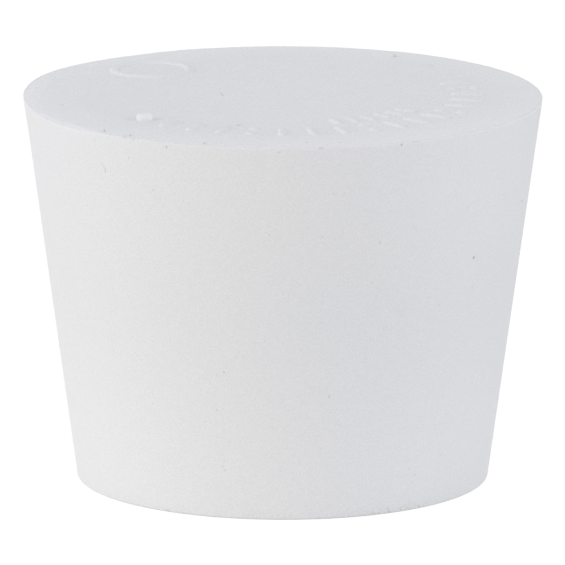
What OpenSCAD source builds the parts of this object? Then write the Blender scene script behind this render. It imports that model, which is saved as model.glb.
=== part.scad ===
// Solid rubber stopper, moulded in one piece.
// A tapered plug stands on its narrow base with its wide face up. The face carries
// plain raised index marks on one circle, and the dished gate where the rubber went in.

/* [Plug] */
// Diameter of the wide top face
top_d = 34; // [28:0.5:60]
// Diameter of the narrow base
base_d = 27; // [20:0.5:33.5]
// Length from the base to the top face
plug_length = 25.4; // [20:0.2:45]
// Radius on the top rim, where the mould parts
rim_r = 0.25; // [0.05:0.05:0.6]
// Radius on the edge of the base
base_edge_r = 0.25; // [0.1:0.05:2]

/* [Raised strokes] */
// Width of a raised stroke where it leaves the face
stroke_w = 0.6; // [0.4:0.05:0.9]
// Rise of a stroke above the face
stroke_rise = 0.15; // [0.1:0.01:0.4]

/* [Index row] */
// Distance from the rim to the middle of the row
row_inset = 4.9; // [3.5:0.1:6]
// Clear gap along the row between the gate's dish and the first mark
gate_gap = 0.5; // [0.3:0.1:3]
// Bearing where the row ends, in degrees
row_to = 28; // [0:1:60]
// Spacing of the marks along the row
mark_pitch = 1.94; // [1.8:0.02:3]
// Length of a bar, from end to end
bar_length = 2.3; // [1.8:0.1:2.8]
// Diameter of each dot in a pair of dots
dot_d = 0.8; // [0.5:0.05:0.9]
// A pair of dots takes the place of every so many bars
dots_every = 4; // [2:1:8]

/* [Short row] */
// Clear gap between the short row and the bars outside it
short_row_gap = 0.7; // [0.3:0.1:1.5]
// Bearing where the short row starts, in degrees
short_row_from = -69; // [-90:1:-60]
// Bearing where the short row ends, in degrees
short_row_to = -32; // [-45:1:-10]
// Spacing of the short bars
short_pitch = 1.2; // [1.1:0.05:2]
// Length of a short bar, from end to end
short_bar_length = 1.6; // [1:0.1:2]

/* [Insert mark] */
// Bearing of the mark that the mould's round insert leaves, in degrees
insert_at = 136; // [110:1:160]
// Diameter of its ring, at the middle of the stroke
insert_d = 5; // [3:0.1:6]

/* [Gate] */
// Bearing of the gate, in degrees
gate_at = -138; // [-160:1:-130]
// Diameter of the dish round the gate
dish_d = 3; // [2:0.1:3.6]
// Depth of the dish
dish_depth = 0.06; // [0.05:0.01:0.3]
// Diameter of the nib left by the gate
nib_d = 1.05; // [0.6:0.05:1.4]
// Rise of the nib above the face
nib_rise = 0.4; // [0.1:0.05:0.6]
// Radius on the nib's edge
nib_edge_r = 0.25; // [0.05:0.05:0.25]

/* [Hidden] */
$fn = 96;

// Half angle of the taper, and the corners that it makes with the two faces
taper = atan((top_d - base_d) / 2 / plug_length);
rim_corner = 90 - taper;
base_corner = 90 + taper;
// From each corner to where its rounding starts
rim_run = rim_r / tan(rim_corner / 2);
base_run = base_edge_r / tan(base_corner / 2);
// The circle that the marks, the insert mark and the gate stand on
row_r = top_d / 2 - row_inset;
// The row starts clear of the dish
row_from = gate_at + degrees_along(dish_d / 2 + gate_gap + stroke_w / 2, row_r);
short_row_r = row_r - bar_length / 2 - short_row_gap - short_bar_length / 2;
// A stroke's section is the segment of a circle that has its width and rise, and
// a dot and the dish are caps of spheres
stroke_r = cap_radius(stroke_w, stroke_rise);
stroke_axis_z = plug_length + stroke_rise - stroke_r;
dot_r = cap_radius(dot_d, stroke_rise);
dish_r = cap_radius(dish_d, dish_depth);
// The nib is rooted this far below the bottom of the dish
nib_root = 0.5;

// Radius of the circle whose segment is this wide and this high
function cap_radius(width, height) = (pow(width / 2, 2) + pow(height, 2)) / (2 * height);
// Angle that a length takes up along a circle, and how many marks fit between two bearings
function degrees_along(length, radius) = length / radius * 180 / PI;
function marks_along(radius, from, to, pitch) = floor((to - from) / degrees_along(pitch, radius)) + 1;
function bearing_of(i, radius, from, pitch) = from + i * degrees_along(pitch, radius);

// Half section of the plug, with its edge roundings as true arcs
module plug_section() {
    side = [sin(taper), cos(taper)];
    rim = [top_d / 2, plug_length];
    foot = [base_d / 2, 0];
    polygon([
        [0, 0],
        foot - [base_run, 0],
        foot + base_run * side,
        rim - rim_run * side,
        rim - [rim_run, 0],
        [0, plug_length]
    ]);
    translate(foot + [-base_run, base_edge_r])
        circle(base_edge_r);
    translate(rim - [rim_run, rim_r])
        circle(rim_r);
}

// Sets what follows on the top face at a bearing, with x running outwards
module on_circle(radius, bearing, z) {
    rotate([0, 0, bearing])
        translate([radius, 0, z])
            children();
}

// A bar of round section and round ends, lying along x
module bar(bar_l) {
    half = (bar_l - stroke_w) / 2;
    rotate([0, 90, 0])
        rotate_extrude()
            intersection() {
                union() {
                    translate([0, half]) circle(stroke_r);
                    translate([-stroke_r, -half]) square([2 * stroke_r, 2 * half]);
                    translate([0, -half]) circle(stroke_r);
                }
                translate([0, -half - stroke_r]) square([stroke_r, 2 * (half + stroke_r)]);
            }
}

// Two dots on one radius, as far apart as the ends of a bar
module dot_pair() {
    for (side = [-1, 1])
        translate([side * (bar_length - dot_d) / 2, 0, stroke_r - dot_r])
            sphere(dot_r);
}

// The main row: plain bars, with a pair of dots in place of every so many
module index_row() {
    for (i = [0 : marks_along(row_r, row_from, row_to, mark_pitch) - 1])
        on_circle(row_r, bearing_of(i, row_r, row_from, mark_pitch), stroke_axis_z)
            if (i % dots_every == dots_every - 1) dot_pair();
            else bar(bar_length);
}

// A row of short bars inside the main row
module short_row() {
    for (i = [0 : marks_along(short_row_r, short_row_from, short_row_to, short_pitch) - 1])
        on_circle(short_row_r, bearing_of(i, short_row_r, short_row_from, short_pitch), stroke_axis_z)
            bar(short_bar_length);
}

// The raised ring that the mould's round insert leaves
module insert_mark() {
    on_circle(row_r, insert_at, stroke_axis_z)
        rotate_extrude()
            translate([insert_d / 2, 0])
                circle(stroke_r);
}

// The shallow dish round the gate
module gate_dish() {
    on_circle(row_r, gate_at, plug_length - dish_depth + dish_r)
        sphere(dish_r);
}

// The stub that stays when the gate is cut, with a rounded edge
module gate_nib() {
    top = nib_rise;
    root = -dish_depth - nib_root;
    on_circle(row_r, gate_at, plug_length)
        rotate_extrude() {
            translate([0, root]) square([nib_d / 2, top - nib_edge_r - root]);
            translate([0, root]) square([nib_d / 2 - nib_edge_r, top - root]);
            intersection() {
                translate([nib_d / 2 - nib_edge_r, top - nib_edge_r]) circle(nib_edge_r);
                translate([0, root]) square([nib_d / 2, top - root]);
            }
        }
}

module stopper() {
    color("whitesmoke") {
        difference() {
            rotate_extrude() plug_section();
            gate_dish();
        }
        index_row();
        short_row();
        insert_mark();
        gate_nib();
    }
}

stopper();
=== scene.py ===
import math

import bmesh
import bpy
from mathutils import Matrix, Vector


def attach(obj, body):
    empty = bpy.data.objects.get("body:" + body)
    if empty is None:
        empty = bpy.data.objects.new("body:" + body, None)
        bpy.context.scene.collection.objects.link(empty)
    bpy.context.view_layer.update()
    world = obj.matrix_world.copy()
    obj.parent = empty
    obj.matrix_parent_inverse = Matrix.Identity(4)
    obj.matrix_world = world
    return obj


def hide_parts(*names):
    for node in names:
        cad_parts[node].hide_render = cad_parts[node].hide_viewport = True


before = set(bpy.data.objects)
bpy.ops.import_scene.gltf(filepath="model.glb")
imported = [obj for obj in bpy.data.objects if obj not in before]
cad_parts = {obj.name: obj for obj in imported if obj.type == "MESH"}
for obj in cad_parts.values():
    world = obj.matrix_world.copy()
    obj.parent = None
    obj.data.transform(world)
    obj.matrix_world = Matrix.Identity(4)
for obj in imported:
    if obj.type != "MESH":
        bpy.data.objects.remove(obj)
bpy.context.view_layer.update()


# The plug is solid white rubber, cured in a heated mould as one tapered piece. The cavity gives
# the cone and the base, and the mould's lid gives the flat top face. Rubber squeezed out between
# the two is trimmed off, which leaves the rim a little uneven.
MM = 0.001
top_radius = 17.0 * MM
base_radius = 13.5 * MM
plug_length = 25.4 * MM
plug_segments = 360
side_cuts = 30
base_edge_radius = 0.15 * MM
base_edge_steps = 8
crisp_rim_radius = 0.1 * MM
round_rim_radius = 0.4 * MM
round_rim_bearing = math.radians(-147)
round_rim_reach = math.radians(18)
rim_steps = 7
rim_band = 0.6 * MM
rim_unevenness = 0.04 * MM
rim_unevenness_size = 0.9 * MM
lip_rise = 0.125 * MM
lip_width = 2.0 * MM
lip_bearing = math.radians(160)
lip_reach = math.radians(36)
crown_width = 3.0 * MM
crown_depth = 1.0 * MM
crown_drop = 0.05 * MM
crown_rings = 5
touching = 0.01 * MM
taper = math.atan((top_radius - base_radius) / plug_length)


def pick_only(piece):
    """Select this piece alone and make it the active one."""
    bpy.ops.object.select_all(action="DESELECT")
    piece.select_set(True)
    bpy.context.view_layer.objects.active = piece


def open_mesh(piece, kind="EDGE"):
    """Open a piece's mesh, with nothing in it selected."""
    pick_only(piece)
    bpy.ops.object.mode_set(mode="EDIT")
    bpy.ops.mesh.select_mode(type=kind)
    bpy.ops.mesh.select_all(action="DESELECT")


def close_mesh():
    bpy.ops.object.mode_set(mode="OBJECT")


def pick_edges(piece, wanted):
    """In the open mesh, select the edges that pass a test."""
    mesh = bmesh.from_edit_mesh(piece.data)
    mesh.normal_update()
    for edge in mesh.edges:
        edge.select_set(wanted(edge))
    bmesh.update_edit_mesh(piece.data)


def pick_faces(piece, wanted):
    """In the open mesh, select the faces that pass a test."""
    mesh = bmesh.from_edit_mesh(piece.data)
    for face in mesh.faces:
        face.select_set(wanted(face))
    bmesh.update_edit_mesh(piece.data)


def across(point):
    """Distance of a point from the plug's axis."""
    return math.hypot(point.x, point.y)


def bevel_run(radius, corner):
    """How far from a corner its rounding starts."""
    return radius / math.tan(corner / 2)


def swell(bearing, middle, reach):
    """One at the middle bearing, falling smoothly to nothing at the reach on each side."""
    apart = abs((bearing - middle + math.pi) % (2 * math.pi) - math.pi)
    share = max(0, 1 - apart / reach)
    return share ** 2 * (3 - 2 * share)


def rim_radius_at(bearing):
    """The rim's rounding at a bearing: crisp, apart from one stretch that was trimmed rounder."""
    share = swell(bearing, round_rim_bearing, round_rim_reach)
    return crisp_rim_radius + (round_rim_radius - crisp_rim_radius) * share


def apply_modifier(piece, kind, **settings):
    """Add a modifier to a piece, set it and apply it."""
    pick_only(piece)
    modifier = piece.modifiers.new(kind.lower(), kind)
    for name, value in settings.items():
        setattr(modifier, name, value)
    bpy.ops.object.modifier_apply(modifier=modifier.name)


bpy.ops.object.select_all(action="DESELECT")
bpy.ops.mesh.primitive_circle_add(vertices=plug_segments, radius=base_radius, fill_type="NGON")
stopper = bpy.context.object
stopper.name = "moulded_stopper"
bpy.ops.object.mode_set(mode="EDIT")
bpy.ops.mesh.select_all(action="SELECT")
bpy.ops.mesh.extrude_region_move(TRANSFORM_OT_translate={"value": (0, 0, plug_length)})
spread = top_radius / base_radius
bpy.ops.transform.resize(value=(spread, spread, 1), center_override=(0, 0, 0))
bpy.ops.mesh.select_all(action="SELECT")
bpy.ops.mesh.normals_make_consistent(inside=False)
close_mesh()

open_mesh(stopper)
pick_edges(stopper, lambda e: all(v.co.z < touching for v in e.verts))
bpy.ops.mesh.bevel(offset=bevel_run(base_edge_radius, math.pi / 2 + taper),
                   segments=base_edge_steps, affect="EDGES")
close_mesh()
rim_share = stopper.data.attributes.new("bevel_weight_edge", "FLOAT", "EDGE")
for edge in stopper.data.edges:
    ends = [stopper.data.vertices[i].co for i in edge.vertices]
    if all(end.z > plug_length - touching for end in ends):
        halfway = (ends[0] + ends[1]) / 2
        rounding = rim_radius_at(math.atan2(halfway.y, halfway.x))
        rim_share.data[edge.index].value = rounding / round_rim_radius
apply_modifier(stopper, "BEVEL", width=bevel_run(round_rim_radius, math.pi / 2 - taper),
               segments=rim_steps, limit_method="WEIGHT")

open_mesh(stopper)
pick_edges(stopper, lambda e: e.calc_length() > plug_length / 2)
bpy.ops.mesh.subdivide(number_cuts=side_cuts)
bpy.ops.mesh.select_mode(type="FACE")
pick_faces(stopper, lambda f: f.normal.z > 0.99 and len(f.verts) == plug_segments)
for ring in range(crown_rings):
    bpy.ops.mesh.inset(thickness=crown_width / crown_rings, depth=0)
close_mesh()
for point in stopper.data.vertices:
    # The top face falls away a little towards its rim.
    if point.co.z > plug_length - crown_depth:
        outwards = max(0, across(point.co) - (top_radius - crown_width)) / crown_width
        point.co.z -= crown_drop * min(outwards, 1) ** 2
    # At the back left the flash was trimmed less closely, so the rim stands up and out.
    bearing = math.atan2(point.co.y, point.co.x)
    from_rim = math.hypot(top_radius - across(point.co), plug_length - point.co.z)
    lip = lip_rise * swell(bearing, lip_bearing, lip_reach) * max(0, 1 - from_rim / lip_width)
    point.co += lip * Vector((math.cos(bearing), math.sin(bearing), 1))

rim_points = stopper.vertex_groups.new(name="rim")
near_rim = [v.index for v in stopper.data.vertices
            if v.co.z > plug_length - rim_band and across(v.co) > top_radius - rim_band]
rim_points.add(near_rim, 1.0, "REPLACE")
rim_pattern = bpy.data.textures.new("rim_pattern", type="CLOUDS")
rim_pattern.noise_scale = rim_unevenness_size
apply_modifier(stopper, "DISPLACE", vertex_group="rim", texture=rim_pattern,
               strength=rim_unevenness, mid_level=0.5, texture_coords="LOCAL")


# Where the flash tore, it took bites out of the rim. Each is given by its bearing in degrees, then
# its depth, length and height in millimetres, and its middle lies in the rim's rounding, at these
# shares of it. The edge of the base has one tear like them.
rim_bites = [
    (-154.5, 0.08, 0.4, 0.07),
    (-126.7, 0.12, 0.4, 0.1),
    (-124.6, 0.12, 0.3, 0.1),
    (-59.6, 0.06, 0.4, 0.06),
]
bite_inset = 0.4
bite_drop = 0.35
base_tear = (-123.9, 0.12, 0.65, 0.05)
tear_inset = 0.04 * MM
tear_height = 0.16 * MM
bite_segments = 14
bite_rings = 9
ball_radius = 0.5 * MM


def join(pieces):
    """Join pieces into the first of them."""
    bpy.ops.object.select_all(action="DESELECT")
    for piece in pieces:
        piece.select_set(True)
    bpy.context.view_layer.objects.active = pieces[0]
    bpy.ops.object.join()
    return pieces[0]


def combine(tool, operation):
    """Add a piece to the stopper, or cut it away."""
    apply_modifier(stopper, "BOOLEAN", object=tool, operation=operation, solver="EXACT")
    bpy.data.objects.remove(tool)


bites = [(base_radius - tear_inset, tear_height, *base_tear)]
for bite in rim_bites:
    rounding = rim_radius_at(math.radians(bite[0]))
    bite_height = plug_length - crown_drop - bite_drop * rounding
    bites.append((top_radius - bite_inset * rounding, bite_height, *bite))
cuts = []
for radius, height, bearing, deep, long, tall in bites:
    bpy.ops.object.select_all(action="DESELECT")
    bpy.ops.mesh.primitive_uv_sphere_add(segments=bite_segments, ring_count=bite_rings,
                                         radius=ball_radius)
    cut = bpy.context.object
    cut.scale = (deep, long, tall)
    angle = math.radians(bearing)
    cut.rotation_euler = (0, 0, angle)
    cut.location = (radius * math.cos(angle), radius * math.sin(angle), height)
    bpy.ops.object.transform_apply(location=True, rotation=True, scale=True)
    cuts.append(cut)
combine(join(cuts), "DIFFERENCE")


# The gate is where the rubber went into the cavity: a shallow round dish in the top face, with the
# short stub in it that stays when the sprue is snipped off.
gate_radius = 12.1 * MM
gate_bearing = math.radians(-138)
dish_width = 3.0 * MM
dish_depth = 0.06 * MM
dish_segments = 64
dish_rings = 180
nib_width = 1.05 * MM
nib_rise = 0.4 * MM
nib_root = 0.5 * MM
nib_sides = 40
nib_edge_radius = 0.25 * MM
nib_edge_steps = 8


def cap_radius(width, height):
    """Radius of the sphere whose cap is this wide and this high."""
    return ((width / 2) ** 2 + height ** 2) / (2 * height)


def place_on_top(piece, radius, bearing, height=0.0):
    """Move a piece from the origin to the top face, with its x axis running outwards."""
    pick_only(piece)
    at = Matrix.Translation((radius, 0, plug_length + height))
    piece.matrix_world = Matrix.Rotation(bearing, 4, "Z") @ at @ piece.matrix_world
    bpy.ops.object.transform_apply(location=True, rotation=True, scale=True)


dish_ball = cap_radius(dish_width, dish_depth)
bpy.ops.object.select_all(action="DESELECT")
bpy.ops.mesh.primitive_uv_sphere_add(segments=dish_segments, ring_count=dish_rings, radius=dish_ball)
dish = bpy.context.object
place_on_top(dish, gate_radius, gate_bearing, dish_ball - dish_depth)
combine(dish, "DIFFERENCE")

nib_bottom = -dish_depth - nib_root
bpy.ops.object.select_all(action="DESELECT")
bpy.ops.mesh.primitive_cylinder_add(vertices=nib_sides, radius=nib_width / 2,
                                    depth=nib_rise - nib_bottom,
                                    location=(0, 0, (nib_rise + nib_bottom) / 2))
nib = bpy.context.object
bpy.ops.object.transform_apply(location=True)
open_mesh(nib)
pick_edges(nib, lambda e: all(v.co.z > nib_rise - touching for v in e.verts))
bpy.ops.mesh.bevel(offset=nib_edge_radius, segments=nib_edge_steps, affect="EDGES")
close_mesh()
place_on_top(nib, gate_radius, gate_bearing)
combine(nib, "UNION")


# The raised marks were milled into the mould's lid with a ball-nosed cutter, so each stroke has a
# round back and round ends: a row of bars and dot pairs on one circle, a short row inside it, and
# the ring that the lid's round insert leaves.
stroke_width = 0.6 * MM
stroke_rise = 0.15 * MM
stroke_radius = cap_radius(stroke_width, stroke_rise)
stroke_sink = stroke_rise - stroke_radius
stroke_sides = 16
stroke_rings = 9
row_radius = gate_radius
row_end = math.radians(28)
gate_gap = 0.5 * MM
mark_pitch = 1.94 * MM
bar_length = 2.3 * MM
dot_width = 0.8 * MM
dot_segments = 28
dot_rings = 17
dots_every = 4
short_row_gap = 0.7 * MM
short_row_ends = (math.radians(-69), math.radians(-32))
short_pitch = 1.2 * MM
short_bar_length = 1.6 * MM
insert_bearing = math.radians(136)
insert_radius = 2.5 * MM
insert_steps = 96
half_side = Matrix.Rotation(math.pi / stroke_sides, 4, "Z")


def make_bar(length):
    """A bar of round section with round ends, lying along x at the origin."""
    bpy.ops.object.select_all(action="DESELECT")
    bpy.ops.mesh.primitive_uv_sphere_add(segments=stroke_sides, ring_count=stroke_rings,
                                         radius=stroke_radius)
    bar = bpy.context.object
    bar.matrix_world = Matrix.Rotation(math.pi / 2, 4, "Y") @ half_side
    bpy.ops.object.transform_apply(rotation=True)
    stretch = (length - stroke_width) / 2
    for end in (-1, 1):
        open_mesh(bar, "VERT")
        mesh = bmesh.from_edit_mesh(bar.data)
        for point in mesh.verts:
            point.select_set(point.co.x * end > 0)
        bmesh.update_edit_mesh(bar.data)
        bpy.ops.transform.translate(value=(end * stretch, 0, 0))
        close_mesh()
    return bar


def make_dot_pair():
    """Two dots on one radius, as far apart as the ends of a bar."""
    dot_ball = cap_radius(dot_width, stroke_rise)
    dots = []
    for end in (1, -1):
        bpy.ops.object.select_all(action="DESELECT")
        bpy.ops.mesh.primitive_uv_sphere_add(
            segments=dot_segments, ring_count=dot_rings, radius=dot_ball,
            location=(end * (bar_length - dot_width) / 2, 0, stroke_radius - dot_ball))
        dots.append(bpy.context.object)
    pair = join(dots)
    bpy.ops.object.transform_apply(location=True)
    return pair


def make_ring(radius):
    """A flat ring of round section."""
    bpy.ops.object.select_all(action="DESELECT")
    bpy.ops.mesh.primitive_circle_add(vertices=stroke_sides, radius=stroke_radius, fill_type="NOTHING")
    ring = bpy.context.object
    upright = Matrix.Rotation(math.pi / 2, 4, "X")
    ring.matrix_world = Matrix.Translation((radius, 0, 0)) @ upright @ half_side
    bpy.ops.object.transform_apply(location=True, rotation=True)
    bpy.ops.object.mode_set(mode="EDIT")
    bpy.ops.mesh.select_all(action="SELECT")
    bpy.ops.mesh.spin(steps=insert_steps, angle=2 * math.pi, center=(0, 0, 0), axis=(0, 0, 1))
    bpy.ops.mesh.select_all(action="SELECT")
    bpy.ops.mesh.remove_doubles(threshold=touching)
    bpy.ops.mesh.normals_make_consistent(inside=False)
    close_mesh()
    return ring


def copy_of(piece):
    """A copy of a piece, with its own mesh."""
    pick_only(piece)
    bpy.ops.object.duplicate(linked=False)
    return bpy.context.object


def bearings(radius, start, end, pitch):
    """The bearings of marks one pitch apart along a circle."""
    step = pitch / radius
    return [start + i * step for i in range(int((end - start) / step) + 1)]


marks = []
bar_model = make_bar(bar_length)
pair_model = make_dot_pair()
row_start = gate_bearing + (dish_width / 2 + gate_gap + stroke_width / 2) / row_radius
for i, bearing in enumerate(bearings(row_radius, row_start, row_end, mark_pitch)):
    mark = copy_of(pair_model if i % dots_every == dots_every - 1 else bar_model)
    place_on_top(mark, row_radius, bearing, stroke_sink)
    marks.append(mark)

short_bar_model = make_bar(short_bar_length)
short_row_radius = row_radius - bar_length / 2 - short_row_gap - short_bar_length / 2
for bearing in bearings(short_row_radius, *short_row_ends, short_pitch):
    mark = copy_of(short_bar_model)
    place_on_top(mark, short_row_radius, bearing, stroke_sink)
    marks.append(mark)

insert_ring = make_ring(insert_radius)
place_on_top(insert_ring, row_radius, insert_bearing, stroke_sink)

for model in (bar_model, pair_model, short_bar_model):
    bpy.data.objects.remove(model)
combine(join([insert_ring, *marks]), "UNION")


# Crumbs of dark rubber from the trimming are stuck to the top face, most of them near its edge. Each
# is given by its x and y, width and height in millimetres, and by how dark it is.
crumbs = [
    (-11.59, -11.88, 0.26, 0.14, 0.22),
    (-9.87, -13.29, 0.18, 0.1, 0.19),
    (-5.09, -15.77, 0.19, 0.1, 0.24),
    (-2.9, -10.0, 0.32, 0.1, 0.16),
    (7.4, 13.2, 0.26, 0.14, 0.32),
]
grits = []
for x, y, width, tall, darkness in crumbs:
    bpy.ops.object.select_all(action="DESELECT")
    bpy.ops.mesh.primitive_ico_sphere_add(subdivisions=2, radius=ball_radius,
                                          location=(x * MM, y * MM, plug_length))
    grit = bpy.context.object
    grit.scale = (width, width, 2 * tall)
    bpy.ops.object.transform_apply(location=True, scale=True)
    grits.append(grit)
combine(join(grits), "UNION")


# The finished piece is all one skin of rubber. Tiny edges that the cuts leave are merged, and because
# the cuts give the points in another order each run, they are sorted first. Corners sharper than
# the crease angle stay sharp.
shortest_edge = 0.004 * MM
crease_angle = math.radians(35)

open_mesh(stopper)
bpy.ops.mesh.select_all(action="SELECT")
bpy.ops.mesh.sort_elements(type="CURSOR_DISTANCE", elements={"VERT", "EDGE", "FACE"})
bpy.ops.mesh.remove_doubles(threshold=shortest_edge)
bpy.ops.mesh.dissolve_degenerate(threshold=shortest_edge)
close_mesh()
pick_only(stopper)
bpy.ops.object.shade_smooth_by_angle(angle=crease_angle)
apply_modifier(stopper, "WEIGHTED_NORMAL", keep_sharp=True, weight=100)

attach(stopper, "root")
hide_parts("stopper")


# White rubber is natural rubber filled with chalk and white pigment, cured matt. It has clouded very
# slightly, warmer in some places and cooler in others, and dust and a few dark bits of old rubber
# are caught in its skin, most of them along the trimmed rim.
warm_white = (0.769, 0.766, 0.757, 1)
cool_white = (0.757, 0.765, 0.778, 1)
face_skin = (plug_length - 0.2 * MM, plug_length - 0.1 * MM)
face_edge = (top_radius - 0.13 * MM, top_radius - 0.05 * MM)
painted_warm_to_cool = (-2 * MM, 9 * MM)
noise_spread = (0.3, 0.7)
cloud_size = 9 * MM
cloud_strength = 0.25
grain_size = 0.09 * MM
grain_spread = (0.25, 0.75)
grain_strength = 0.055
grain_height = 0.012 * MM
face_grain_stretch = 4.5

rubber = bpy.data.materials.new("white_rubber")
rubber.use_nodes = True


def add_node(material, kind, inputs=None, **settings):
    """Add a shader node, set its options, and give its inputs values or links."""
    tree = material.node_tree
    node = tree.nodes.new("ShaderNode" + kind)
    for name, value in settings.items():
        setattr(node, name, value)
    for key, value in (inputs or {}).items():
        if isinstance(value, bpy.types.NodeSocket):
            tree.links.new(value, node.inputs[key])
        else:
            node.inputs[key].default_value = value
    return node


def add_math(material, operation, first, second):
    return add_node(material, "Math", {0: first, 1: second}, operation=operation).outputs[0]


def put_together(operation, *values):
    """Values in the rubber, put together by one operation."""
    result = values[0]
    for value in values[1:]:
        result = add_math(rubber, operation, result, value)
    return result


def noise_in_rubber(vector, size, detail, output="Fac"):
    """Noise whose features are about this large."""
    inputs = {"Vector": vector, "Scale": 1 / size, "Detail": detail}
    return add_node(rubber, "TexNoise", inputs).outputs[output]


def vector_math(operation, inputs, output="Vector"):
    return add_node(rubber, "VectorMath", inputs, operation=operation).outputs[output]


def ramp(value, ends, results, run="LINEAR"):
    """Go from the first result to the second while a value goes from the first end to the second."""
    inputs = {"Value": value, "From Min": ends[0], "From Max": ends[1],
              "To Min": results[0], "To Max": results[1]}
    return add_node(rubber, "MapRange", inputs, interpolation_type=run).outputs["Result"]


def tint(blend, share, first, second):
    """The second colour laid over the first."""
    inputs = {0: share, 6: first, 7: second}
    return add_node(rubber, "Mix", inputs, data_type="RGBA", blend_type=blend).outputs[2]


here = add_node(rubber, "TexCoord").outputs["Object"]
place = add_node(rubber, "SeparateXYZ", {0: here}).outputs
flat = add_node(rubber, "CombineXYZ", {"X": place["X"], "Y": place["Y"]}).outputs[0]
from_axis = vector_math("LENGTH", {0: flat}, "Value")
near_top = ramp(place["Z"], face_skin, (0, 1))
rim_inside = ramp(from_axis, face_edge, (1, 0))
on_face = put_together("MULTIPLY", near_top, rim_inside)

clouds = noise_in_rubber(here, cloud_size, detail=3)
clouds = ramp(clouds, noise_spread, (-cloud_strength, cloud_strength))
# Painted light colour: warm on the left, cool towards the right and over the top face.
painted_light_coolness = put_together("MAXIMUM", ramp(place["X"], painted_warm_to_cool, (0, 1)), on_face)
colour = tint("MIX", put_together("ADD", painted_light_coolness, clouds), warm_white, cool_white)
# On the top face the grain is drawn out from front to back.
stretch = ramp(on_face, (0, 1), (1, 1 / face_grain_stretch))
drawn_out = {"X": place["X"], "Y": put_together("MULTIPLY", place["Y"], stretch), "Z": place["Z"]}
grain = noise_in_rubber(add_node(rubber, "CombineXYZ", drawn_out).outputs[0], grain_size, detail=1)
shade = ramp(grain, grain_spread, (1 - grain_strength, 1 + grain_strength))
colour = tint("MULTIPLY", 1.0, colour, shade)

# The colour is painted paler towards the narrow end, as painted light from the floor, and greyer higher
# up as painted shade.
# The top face carries a painted highlight along its edge and at its left end, and a spot high on the
# front right is a little paler. The rest of the right side is slightly greyer, as painted shade.
rim_highlight_width = 4 * MM
rim_highlight_gain = (0.012, 0.055)
left_end = (-15.4 * MM, -17 * MM)
left_end_highlight = 0.045
right_rim = (-2 * MM, 15 * MM)
right_rim_share = 0.85
left_rim = (-16.2 * MM, -16.8 * MM)
left_rim_share = 0.45
narrow_end = (1 * MM, 15 * MM)
painted_bounce_and_shade = (1.021, 0.975)
pale_spot_bearing = -45
pale_spot_height = 22.5
pale_spot_reach = (2 * MM, 10 * MM)
pale_spot_gain = 0.02
right_side = (4 * MM, 14 * MM)
right_side_painted_shade = 0.008


def side_point(bearing, height):
    """The point on the plug's side at a bearing in degrees and a height in millimetres."""
    radius = base_radius + height * MM * math.tan(taper)
    angle = math.radians(bearing)
    return (radius * math.cos(angle), radius * math.sin(angle), height * MM)


def distance_from(point):
    return vector_math("DISTANCE", {0: here, 1: point}, "Value")


# Painted highlight on the top face, paler towards its edge and at its left end.
painted_rim_highlight = put_together("ADD",
                        ramp(from_axis, (top_radius - rim_highlight_width, top_radius), rim_highlight_gain),
                        ramp(place["X"], left_end, (0, left_end_highlight)))
rim_highlight_reach = put_together("MAXIMUM", rim_inside,
                       ramp(place["X"], right_rim, (0, right_rim_share)),
                       ramp(place["X"], left_rim, (0, left_rim_share)))
painted_rim_highlight = put_together("MULTIPLY", painted_rim_highlight, put_together("MULTIPLY", near_top, rim_highlight_reach))
# A little paler round one spot high on the front right.
pale_spot_far = distance_from(side_point(pale_spot_bearing, pale_spot_height))
# Painted light from the floor pales the lower side, and painted shade greys it higher up and on the
# right.
painted_light_and_shade = put_together("ADD", painted_rim_highlight,
                      ramp(place["Z"], narrow_end, painted_bounce_and_shade, "SMOOTHSTEP"),
                      ramp(pale_spot_far, pale_spot_reach, (pale_spot_gain, 0)),
                      ramp(place["X"], right_side, (0, -right_side_painted_shade)))
colour = tint("MULTIPLY", 1.0, colour, painted_light_and_shade)

# Each speck is a small ellipse at a bearing and height on the side, or at a place on the top face,
# with its sizes in millimetres and its strength last. Its outline is roughened by fine noise.
# This dark serves the real dirt and dust, and also the painted shade at the base edge.
dark_dirt_and_shade = (0.05, 0.045, 0.04, 1)
brown_dirt = (0.36, 0.29, 0.2, 1)
pink_dirt = (0.5, 0.4, 0.46, 1)
speck_skin = 0.25 * MM
speck_and_light_fade = (0.7, 1.1)
ragged_size = 0.12 * MM
edge_inset = 0.4 * MM
crumb_cover = 1.2

ragged = noise_in_rubber(here, ragged_size, detail=2, output="Color")
push = vector_math("SUBTRACT", {0: ragged, 1: (0.5, 0.5, 0.5)})
push = vector_math("SCALE", {0: push, "Scale": ragged_size})
rough_here = vector_math("ADD", {0: here, 1: push})


def speck_and_light_mask(ellipses):
    """Each ellipse's strength where it lies, for specks and for painted light: its middle, turn about
    the axis, three widths, strength.
    """
    spots = []
    for middle, turn, widths, strength in ellipses:
        inputs = {"Vector": rough_here, "Location": middle, "Rotation": (0, 0, math.radians(turn)),
                  "Scale": [width / 2 for width in widths]}
        near = add_node(rubber, "Mapping", inputs, vector_type="TEXTURE").outputs[0]
        spots.append(ramp(vector_math("LENGTH", {0: near}, "Value"), speck_and_light_fade, (strength, 0)))
    return put_together("MAXIMUM", *spots)


def on_side(bearing, height, width, tall, strength):
    return side_point(bearing, height), bearing, (speck_skin, width * MM, tall * MM), strength


def on_top(x, y, length, width, turn, strength):
    return (x * MM, y * MM, plug_length), turn, (length * MM, width * MM, speck_skin), strength


def on_edge(bearing, width, deep, strength):
    """On the last of the top face before the rim."""
    radius = top_radius - edge_inset
    angle = math.radians(bearing)
    middle = (radius * math.cos(angle), radius * math.sin(angle), plug_length - crown_drop)
    return middle, bearing, (deep * MM, width * MM, speck_skin), strength


def on_crumb(x, y, width, tall, darkness):
    """A little wider than the crumb, so that it covers it."""
    cover = crumb_cover * width * MM
    return (x * MM, y * MM, plug_length), 0, (cover, cover, 2 * crumb_cover * tall * MM), darkness


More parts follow.
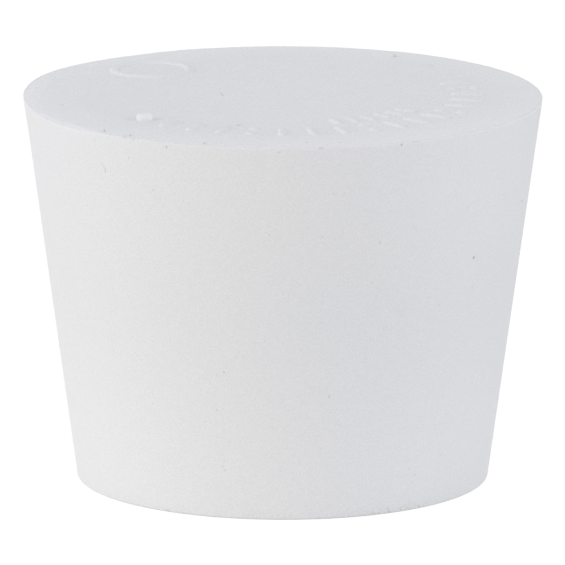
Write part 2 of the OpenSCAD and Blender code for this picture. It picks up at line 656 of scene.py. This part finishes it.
hair = [
    on_side(-133.58, 22.86, 0.16, 0.42, 0.19),
    on_side(-134.0, 23.08, 0.18, 0.16, 0.1),
    on_side(-134.5, 23.24, 0.22, 0.14, 0.11),
]
side_specks = [
    on_side(-15, 19.2, 0.5, 0.16, 0.18),
    on_side(-38.4, 16.65, 0.18, 0.19, 0.57),
    on_side(-51.6, 2.4, 0.16, 0.26, 0.13),
    on_side(-53.5, 2.9, 0.14, 0.18, 0.11),
    on_side(-67.1, 18.7, 0.15, 0.24, 0.18),
    on_side(-78.1, 8.4, 0.13, 0.28, 0.17),
    on_side(-81, 19.3, 0.15, 0.15, 0.15),
    on_side(-104.8, 10.0, 0.2, 0.13, 0.28),
    on_side(-107, 7.4, 0.15, 0.15, 0.15),
    on_side(-120.3, 22, 0.15, 0.15, 0.17),
    on_side(-121.0, 21.8, 0.08, 0.22, 0.12),
    on_side(-123.7, 0.13, 0.6, 0.16, 0.1),
    on_side(-126.2, 24.0, 0.15, 0.15, 0.14),
]
rim_specks = [
    on_side(-63.3, 25.2, 0.16, 0.16, 0.36),
    on_side(-116.2, 25.05, 0.15, 0.26, 0.2),
    on_edge(-127.8, 0.3, 0.4, 0.07),
    on_side(-131.2, 25.33, 0.18, 0.16, 0.1),
    on_side(-154.6, 25.33, 0.2, 0.16, 0.1),
    on_side(-156.8, 25.33, 0.16, 0.14, 0.07),
]
face_specks = [
    on_top(9.8, 10.1, 0.16, 0.9, 30, 0.17),
    on_top(-14.4, -3.4, 0.16, 0.6, 0, 0.15),
    on_top(1.5, -15.3, 0.16, 0.45, 0, 0.22),
    on_top(3.7, -15.3, 0.14, 0.4, 0, 0.17),
]
crumb_specks = [on_crumb(*crumb) for crumb in crumbs]
dark_specks = speck_and_light_mask(crumb_specks + hair + side_specks + rim_specks + face_specks)
brown_specks = speck_and_light_mask([
    on_side(-81.7, 25.3, 0.36, 0.16, 0.2),
    on_side(-90.9, 25.05, 0.32, 0.14, 0.22),
    on_side(-105.5, 3.3, 0.2, 0.16, 0.22),
    on_side(-106.1, 3.55, 0.16, 0.22, 0.2),
])
pink_specks = speck_and_light_mask([on_top(-4.0, 0.2, 0.2, 1.5, 10, 0.34)])
colour = tint("MIX", dark_specks, colour, dark_dirt_and_shade)
colour = tint("MIX", brown_specks, colour, brown_dirt)
colour = tint("MIX", pink_specks, colour, pink_dirt)

# The nib is painted paler, more so towards its right: painted light that fills the shade on that side.
nib_light_white = (0.89, 0.895, 0.905, 1)
nib_light_width = 1.7 * MM
nib_light_depth = 1.2 * MM
nib_light_height = 0.3 * MM
nib_light_strength = 0.62

gate_x = gate_radius * math.cos(gate_bearing)
nib_light_middle = (gate_x, gate_radius * math.sin(gate_bearing), plug_length + nib_light_height)
nib_light_run = (gate_x - 0.5 * MM, gate_x + 0.4 * MM)
# Painted light on the nib, rising towards its right.
painted_nib_light = put_together("MULTIPLY", speck_and_light_mask([(nib_light_middle, 0, (nib_light_width, nib_light_width, nib_light_depth), 1)]),
                       ramp(place["X"], nib_light_run, (0, nib_light_strength)))
colour = tint("MIX", painted_nib_light, colour, nib_light_white)

# Painted contact shade darkens the bottom edge of the base faintly all round, more at one place at the
# front right, broken up by noise.
base_shade_bearing = -56.5
base_shade_height = 0.2
base_shade_reach = (1.0 * MM, 4.0 * MM)
base_shade_strength = (0.18, 0.03)
base_shade_band = (0.2 * MM, 0.6 * MM)
base_shade_size = 0.22 * MM
base_shade_share = (0.52, 0.66)

# Painted contact shade along the base edge.
base_shade_far = distance_from(side_point(base_shade_bearing, base_shade_height))
painted_base_shade = put_together("MULTIPLY", ramp(base_shade_far, base_shade_reach, base_shade_strength),
                         ramp(place["Z"], base_shade_band, (1, 0)),
                         ramp(noise_in_rubber(here, base_shade_size, detail=2), base_shade_share, (0, 1)))
colour = tint("MIX", painted_base_shade, colour, dark_dirt_and_shade)

# Fine dust is strewn over all of it at random. A grain's size is a share of the spacing.
dust_spacing = 1.7 * MM
dust_grain = (0.03, 0.06)
dust_strength = 0.1

dust = add_node(rubber, "TexVoronoi", {"Vector": rough_here, "Scale": 1 / dust_spacing})
dust_mask = ramp(dust.outputs["Distance"], dust_grain, (dust_strength, 0))
colour = tint("MIX", dust_mask, colour, dark_dirt_and_shade)

# The skin is matt, a little smoother in some patches than in others.
patch_size = 2 * MM
skin_roughness = (0.58, 0.72)

shader = rubber.node_tree.nodes["Principled BSDF"]
roughness = ramp(noise_in_rubber(here, patch_size, detail=3), noise_spread, skin_roughness)
bump = add_node(rubber, "Bump", {"Height": grain, "Distance": grain_height, "Strength": 1.0})
rubber.node_tree.links.new(colour, shader.inputs["Base Color"])
rubber.node_tree.links.new(roughness, shader.inputs["Roughness"])
rubber.node_tree.links.new(bump.outputs["Normal"], shader.inputs["Normal"])
shader.inputs["Specular IOR Level"].default_value = 0.4
stopper.data.materials.clear()
stopper.data.materials.append(rubber)


# The studio is a sheet of white paper under the stopper, which the camera sees as white with a faint
# contact shadow, in a tent of soft light with a lit panel on each side.
floor_size = 6
floor_pale = (0.88, 0.88, 0.88, 1)
floor_shadowed = (0.12, 0.12, 0.12, 1)
floor_glow = 0.92
plain_white = (1, 1, 1, 1)
tent_colour = (0.733, 0.736, 0.762, 1)
panel_size = (0.5, 0.56)
panel_distance = 0.8
panel_height = 0.3


def sees_white(material):
    """One for the rays that show the background: the camera's, and those off gloss or through glass."""
    rays = add_node(material, "LightPath").outputs
    seen = add_math(material, "MAXIMUM", rays["Is Camera Ray"], rays["Is Glossy Ray"])
    return add_math(material, "MAXIMUM", seen, rays["Is Transmission Ray"])


bpy.ops.object.select_all(action="DESELECT")
bpy.ops.mesh.primitive_plane_add(size=floor_size)
floor = bpy.context.object
floor.name = "floor"
paper = bpy.data.materials.new("floor_paper")
paper.use_nodes = True
paper.node_tree.nodes.remove(paper.node_tree.nodes["Principled BSDF"])
pale = add_node(paper, "BsdfDiffuse", {"Color": floor_pale}).outputs[0]
shadowed = add_node(paper, "BsdfDiffuse", {"Color": floor_shadowed}).outputs[0]
glow = add_node(paper, "Emission", {"Color": plain_white, "Strength": floor_glow}).outputs[0]
white = add_node(paper, "AddShader", {0: shadowed, 1: glow}).outputs[0]
surface = add_node(paper, "MixShader", {0: sees_white(paper), 1: pale, 2: white}).outputs[0]
paper.node_tree.links.new(surface, paper.node_tree.nodes["Material Output"].inputs["Surface"])
floor.data.materials.append(paper)

scene = bpy.context.scene
scene.view_settings.view_transform = "Standard"
studio = bpy.data.worlds.new("studio")
studio.use_nodes = True
scene.world = studio
tent = studio.node_tree.nodes["Background"]
tent.inputs["Color"].default_value = tent_colour
backdrop = add_node(studio, "Background", {"Color": plain_white, "Strength": 1.0}).outputs[0]
both = add_node(studio, "MixShader", {0: sees_white(studio), 1: tent.outputs[0], 2: backdrop}).outputs[0]
studio.node_tree.links.new(both, studio.node_tree.nodes["World Output"].inputs["Surface"])


def add_panel(name, bearing, energy, colour):
    """A soft panel that stands at a bearing in degrees and faces the stopper."""
    angle = math.radians(bearing)
    lamp = bpy.data.lights.new(name, "AREA")
    lamp.shape = "RECTANGLE"
    lamp.size, lamp.size_y = panel_size
    lamp.energy = energy
    lamp.color = colour
    panel = bpy.data.objects.new(name, lamp)
    scene.collection.objects.link(panel)
    panel.location = (panel_distance * math.cos(angle), panel_distance * math.sin(angle), panel_height)
    panel.rotation_euler = (math.pi / 2, 0, angle + math.pi / 2)


add_panel("left_panel", -160, 2.65, (1, 1, 1))
add_panel("right_panel", -25, 1.58, (1, 0.98, 0.97))


# The camera looks down on the stopper by about 12 degrees, from in front and from far off through a
# long lens. It leans by a tenth of a degree, and aims a little above the stopper's middle and to
# the left of it.
camera_distance = 816 * MM
camera_elevation = math.radians(12.19)
camera_roll = math.radians(0.1)
aim_left = 0.021 * MM
aim_up = 0.147 * MM
film_width = 36
focal_length = 791.4

lens = bpy.data.cameras.new("camera")
lens.sensor_width = film_width
lens.lens = focal_length
lens.clip_start = 0.05
lens.clip_end = 20
camera = bpy.data.objects.new("camera", lens)
scene.collection.objects.link(camera)
look_back = Vector((0, -math.cos(camera_elevation), math.sin(camera_elevation)))
image_up = Vector((0, math.sin(camera_elevation), math.cos(camera_elevation)))
aim = Vector((-aim_left, 0, plug_length / 2)) + aim_up * image_up
camera.location = aim + camera_distance * look_back
tilt = Matrix.Rotation(math.pi / 2 - camera_elevation, 3, "X") @ Matrix.Rotation(camera_roll, 3, "Z")
camera.rotation_euler = tilt.to_euler()
scene.camera = camera
